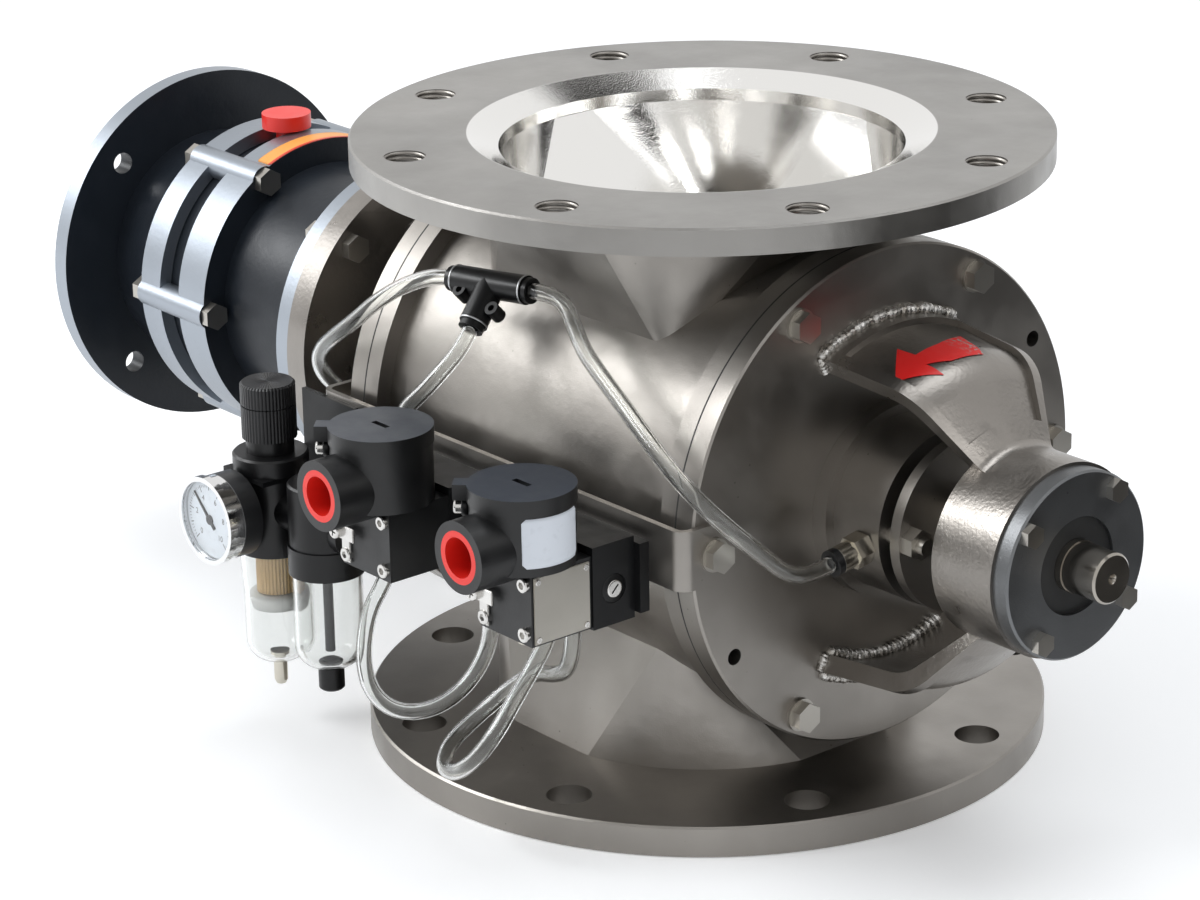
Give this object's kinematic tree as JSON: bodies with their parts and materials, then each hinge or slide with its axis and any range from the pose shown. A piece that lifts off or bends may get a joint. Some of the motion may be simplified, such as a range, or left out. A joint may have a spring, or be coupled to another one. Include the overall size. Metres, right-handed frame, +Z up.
{
  "type": "rotary airlock valve",
  "caption": "Rotary airlock valve with round pipe flanges, outboard bearings, purged shaft seals, solenoid valves, filter regulator and a cycloidal gear unit for a flange motor.",
  "frame": {"origin": "centre of the outlet flange's bottom face", "axes": "+Z up through both pipe flanges, +X along the rotor shaft to the non-drive end, -Y to the side with the air equipment"},
  "size_m": [0.7095, 0.391, 0.306],
  "materials": {
    "bearing_steel": "ground bearing steel",
    "black_metal": "black powder coat",
    "black_plastic": "black moulded plastic",
    "cast_stainless": "blasted casting",
    "clear_bowl": "clear moulded bowl",
    "clear_tube": "clear air tube",
    "fastener": "plain stainless fasteners",
    "gasket": "flat gasket sheet",
    "gauge_chrome": "chromed gauge case",
    "gear_paint": "dark blue-grey machinery paint",
    "nickel": "nickel-plated brass",
    "packing": "braided packing",
    "red_plastic": "red moulded plug",
    "seal_rubber": "black lip seal",
    "shaft_steel": "turned steel",
    "sintered": "tan filter element",
    "stainless": "satin bead-blasted stainless steel, polished inside"
  },
  "bodies": {
    "housing": {"air_bracket": "black_metal", "air_tube_far_purge": "clear_tube", "air_tube_loop": "clear_tube", "air_tube_near_purge": "clear_tube", "air_tube_tee": "clear_tube", "air_tube_valves": "clear_tube", "bearing_outer_rings": "bearing_steel", "breather_plug": "red_plastic", "cap_screws": "fastener", "conduit_plugs": "red_plastic", "cover_bolts": "fastener", "cover_gaskets": "gasket", "far_bearing_bracket": "cast_stainless", "far_end_cover": "stainless", "far_seal_hub": "stainless", "filter_bowl": "clear_bowl", "filter_element": "sintered", "fitting_collars": "black_plastic", "gauge_case": "gauge_chrome", "gear_unit_bolts": "fastener", "gland_studs": "fastener", "glands": "stainless", "housing_body": "stainless", "inlet_flange": "stainless", "input_housing": "gear_paint", "lip_seals": "seal_rubber", "lubricator_body": "black_plastic", "lubricator_bowl": "clear_bowl", "near_bearing_bracket": "cast_stainless", "near_bearing_cap": "cast_stainless", "near_end_cover": "stainless", "near_seal_hub": "stainless", "outlet_flange": "stainless", "output_housing": "gear_paint", "packing_rings": "packing", "panel_nut": "black_plastic", "pin_gear_housing": "gear_paint", "port_fittings": "nickel", "regulator_body": "black_plastic", "ring_pins": "bearing_steel", "support_strap": "stainless", "tee_fitting": "black_plastic", "valve_1_block": "black_metal", "valve_1_operator": "black_metal", "valve_2_block": "black_metal", "valve_2_operator": "black_metal", "valve_manifold": "black_metal", "valve_screws": "fastener"},
    "rotor": {"rotor": "stainless", "rotor_shaft": "shaft_steel", "bearing_inner_rings": "bearing_steel", "output_carrier": "shaft_steel"},
    "input_shaft": {"input_shaft": "shaft_steel", "input_bearing_rings": "bearing_steel"},
    "cycloid_disc": {"cycloid_disc": "bearing_steel"},
    "regulator_knob": {"regulator_knob": "black_plastic"},
    "gauge_pointer": {"gauge_pointer": "black_plastic"},
    "filter_drain": {"filter_drain": "nickel"},
    "valve_1_override": {"valve_1_override": "shaft_steel"},
    "valve_2_override": {"valve_2_override": "shaft_steel"}
  },
  "joints": [
    {"name": "rotor_spin", "type": "hinge", "parent": "housing", "child": "rotor", "pos_m": [0, 0, 0.153], "axis": [1, 0, 0], "continuous": true},
    {"name": "input_spin", "type": "hinge", "parent": "housing", "child": "input_shaft", "pos_m": [-0.36, 0, 0.153], "axis": [1, 0, 0], "continuous": true},
    {"name": "disc_spin", "type": "hinge", "parent": "input_shaft", "child": "cycloid_disc", "pos_m": [-0.343, 0, 0.15475], "axis": [1, 0, 0], "continuous": true},
    {"name": "knob_turn", "type": "hinge", "parent": "housing", "child": "regulator_knob", "pos_m": [-0.1375, -0.165, 0.17], "axis": [0, 0, 1], "range_deg": [-360, 360]},
    {"name": "pointer_swing", "type": "hinge", "parent": "housing", "child": "gauge_pointer", "pos_m": [-0.1375, -0.202, 0.117], "axis": [0, 1, 0], "range_deg": [-90, 180]},
    {"name": "drain_turn", "type": "hinge", "parent": "housing", "child": "filter_drain", "pos_m": [-0.1375, -0.165, 0.03], "axis": [0, 0, 1], "range_deg": [0, 90]},
    {"name": "override_1_turn", "type": "hinge", "parent": "housing", "child": "valve_1_override", "pos_m": [0.001, -0.14775, 0.1385], "axis": [1, 0, 0], "range_deg": [0, 90]},
    {"name": "override_2_turn", "type": "hinge", "parent": "housing", "child": "valve_2_override", "pos_m": [0.106, -0.14775, 0.1385], "axis": [1, 0, 0], "range_deg": [0, 90]}
  ],
  "couplings": [
    {"joint": "input_spin", "follows": "rotor_spin", "ratio": -17},
    {"joint": "disc_spin", "follows": "rotor_spin", "ratio": 18}
  ]
}
